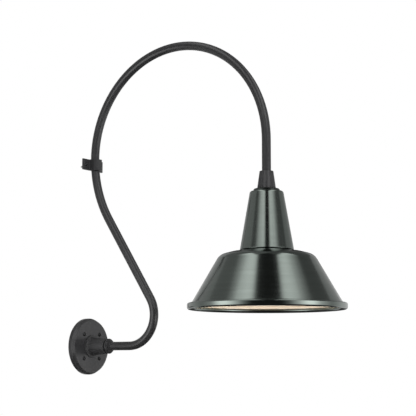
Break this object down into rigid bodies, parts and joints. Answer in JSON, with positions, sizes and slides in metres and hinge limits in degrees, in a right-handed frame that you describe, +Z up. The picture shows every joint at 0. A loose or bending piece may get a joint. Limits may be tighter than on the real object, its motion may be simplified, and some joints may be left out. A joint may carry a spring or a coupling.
{
  "type": "gooseneck wall sconce",
  "caption": "Barn-style wall light: a round wall plate and hub carry a bent tube that hooks up and over to a fluted collar, a tapered neck and a wide conical shade with a lamp inside.",
  "frame": {"origin": "on the wall, at the centre of the wall plate's back, on the axis of the tube's horizontal run", "axes": "+Z up; the arm reaches out from the wall along -Y; +Y points into the wall; X runs along the wall"},
  "size_m": [0.4064, 0.8192, 0.894],
  "materials": {
    "black_paint": "satin",
    "black_screw": "satin",
    "gunmetal_paint": "gloss",
    "gunmetal_ring": "gloss",
    "zinc_steel": "satin",
    "brass_part": "polished",
    "earth_green": "satin",
    "black_rubber": "matte",
    "nylon": "matte",
    "porcelain": "gloss",
    "wire_black": "gloss",
    "wire_white": "gloss",
    "wire_green": "gloss",
    "lamp_cap": "satin",
    "lamp_black_glass": "gloss",
    "lamp_glass": "polished",
    "lamp_stem_glass": "polished",
    "filament_yellow": "matte"
  },
  "bodies": {
    "fixture": {"arm_tube": "black_paint", "wall_plate": "black_paint", "hub": "black_paint", "gland_nut": "black_paint", "gland_washer": "black_paint", "wall_strap": "black_paint", "saddle_base": "black_paint", "collar": "black_paint", "mounting_screws": "black_screw", "strap_screws": "black_screw", "collar_set_screw": "black_screw", "shade": "gunmetal_paint", "neck_housing": "gunmetal_paint", "top_washer": "gunmetal_ring", "wall_gasket": "black_rubber", "gland_seal": "black_rubber", "hub_lock_nut": "zinc_steel", "threaded_nipple": "zinc_steel", "nipple_lock_nuts": "zinc_steel", "socket_bracket": "zinc_steel", "shade_screws": "zinc_steel", "shade_nuts": "zinc_steel", "bracket_screws": "zinc_steel", "saddle_wall_screw": "zinc_steel", "screw_shell": "brass_part", "centre_contact": "brass_part", "terminal_screws": "brass_part", "earth_screw": "earth_green", "tube_bushing": "nylon", "socket_body": "porcelain", "live_wire": "wire_black", "neutral_wire": "wire_white", "earth_wire": "wire_green"},
    "lamp_contact": {"lamp_tip": "brass_part"},
    "lamp": {"lamp_shell": "lamp_cap", "lamp_insulator": "lamp_black_glass", "lamp_bulb": "lamp_glass", "lamp_stem": "lamp_stem_glass", "lamp_filaments": "filament_yellow"}
  },
  "joints": [
    {"name": "lamp_advance", "type": "slide", "parent": "fixture", "child": "lamp_contact", "axis": [0, 0, -1], "range_m": [0, 0.0128]},
    {"name": "lamp_turn", "type": "hinge", "parent": "lamp_contact", "child": "lamp", "pos_m": [0, -0.5911, 0.22], "axis": [0, 0, -1], "range_deg": [0, 1260]}
  ],
  "couplings": [
    {"joint": "lamp_advance", "follows": "lamp_turn", "m_per_rad": 0.00057757}
  ]
}
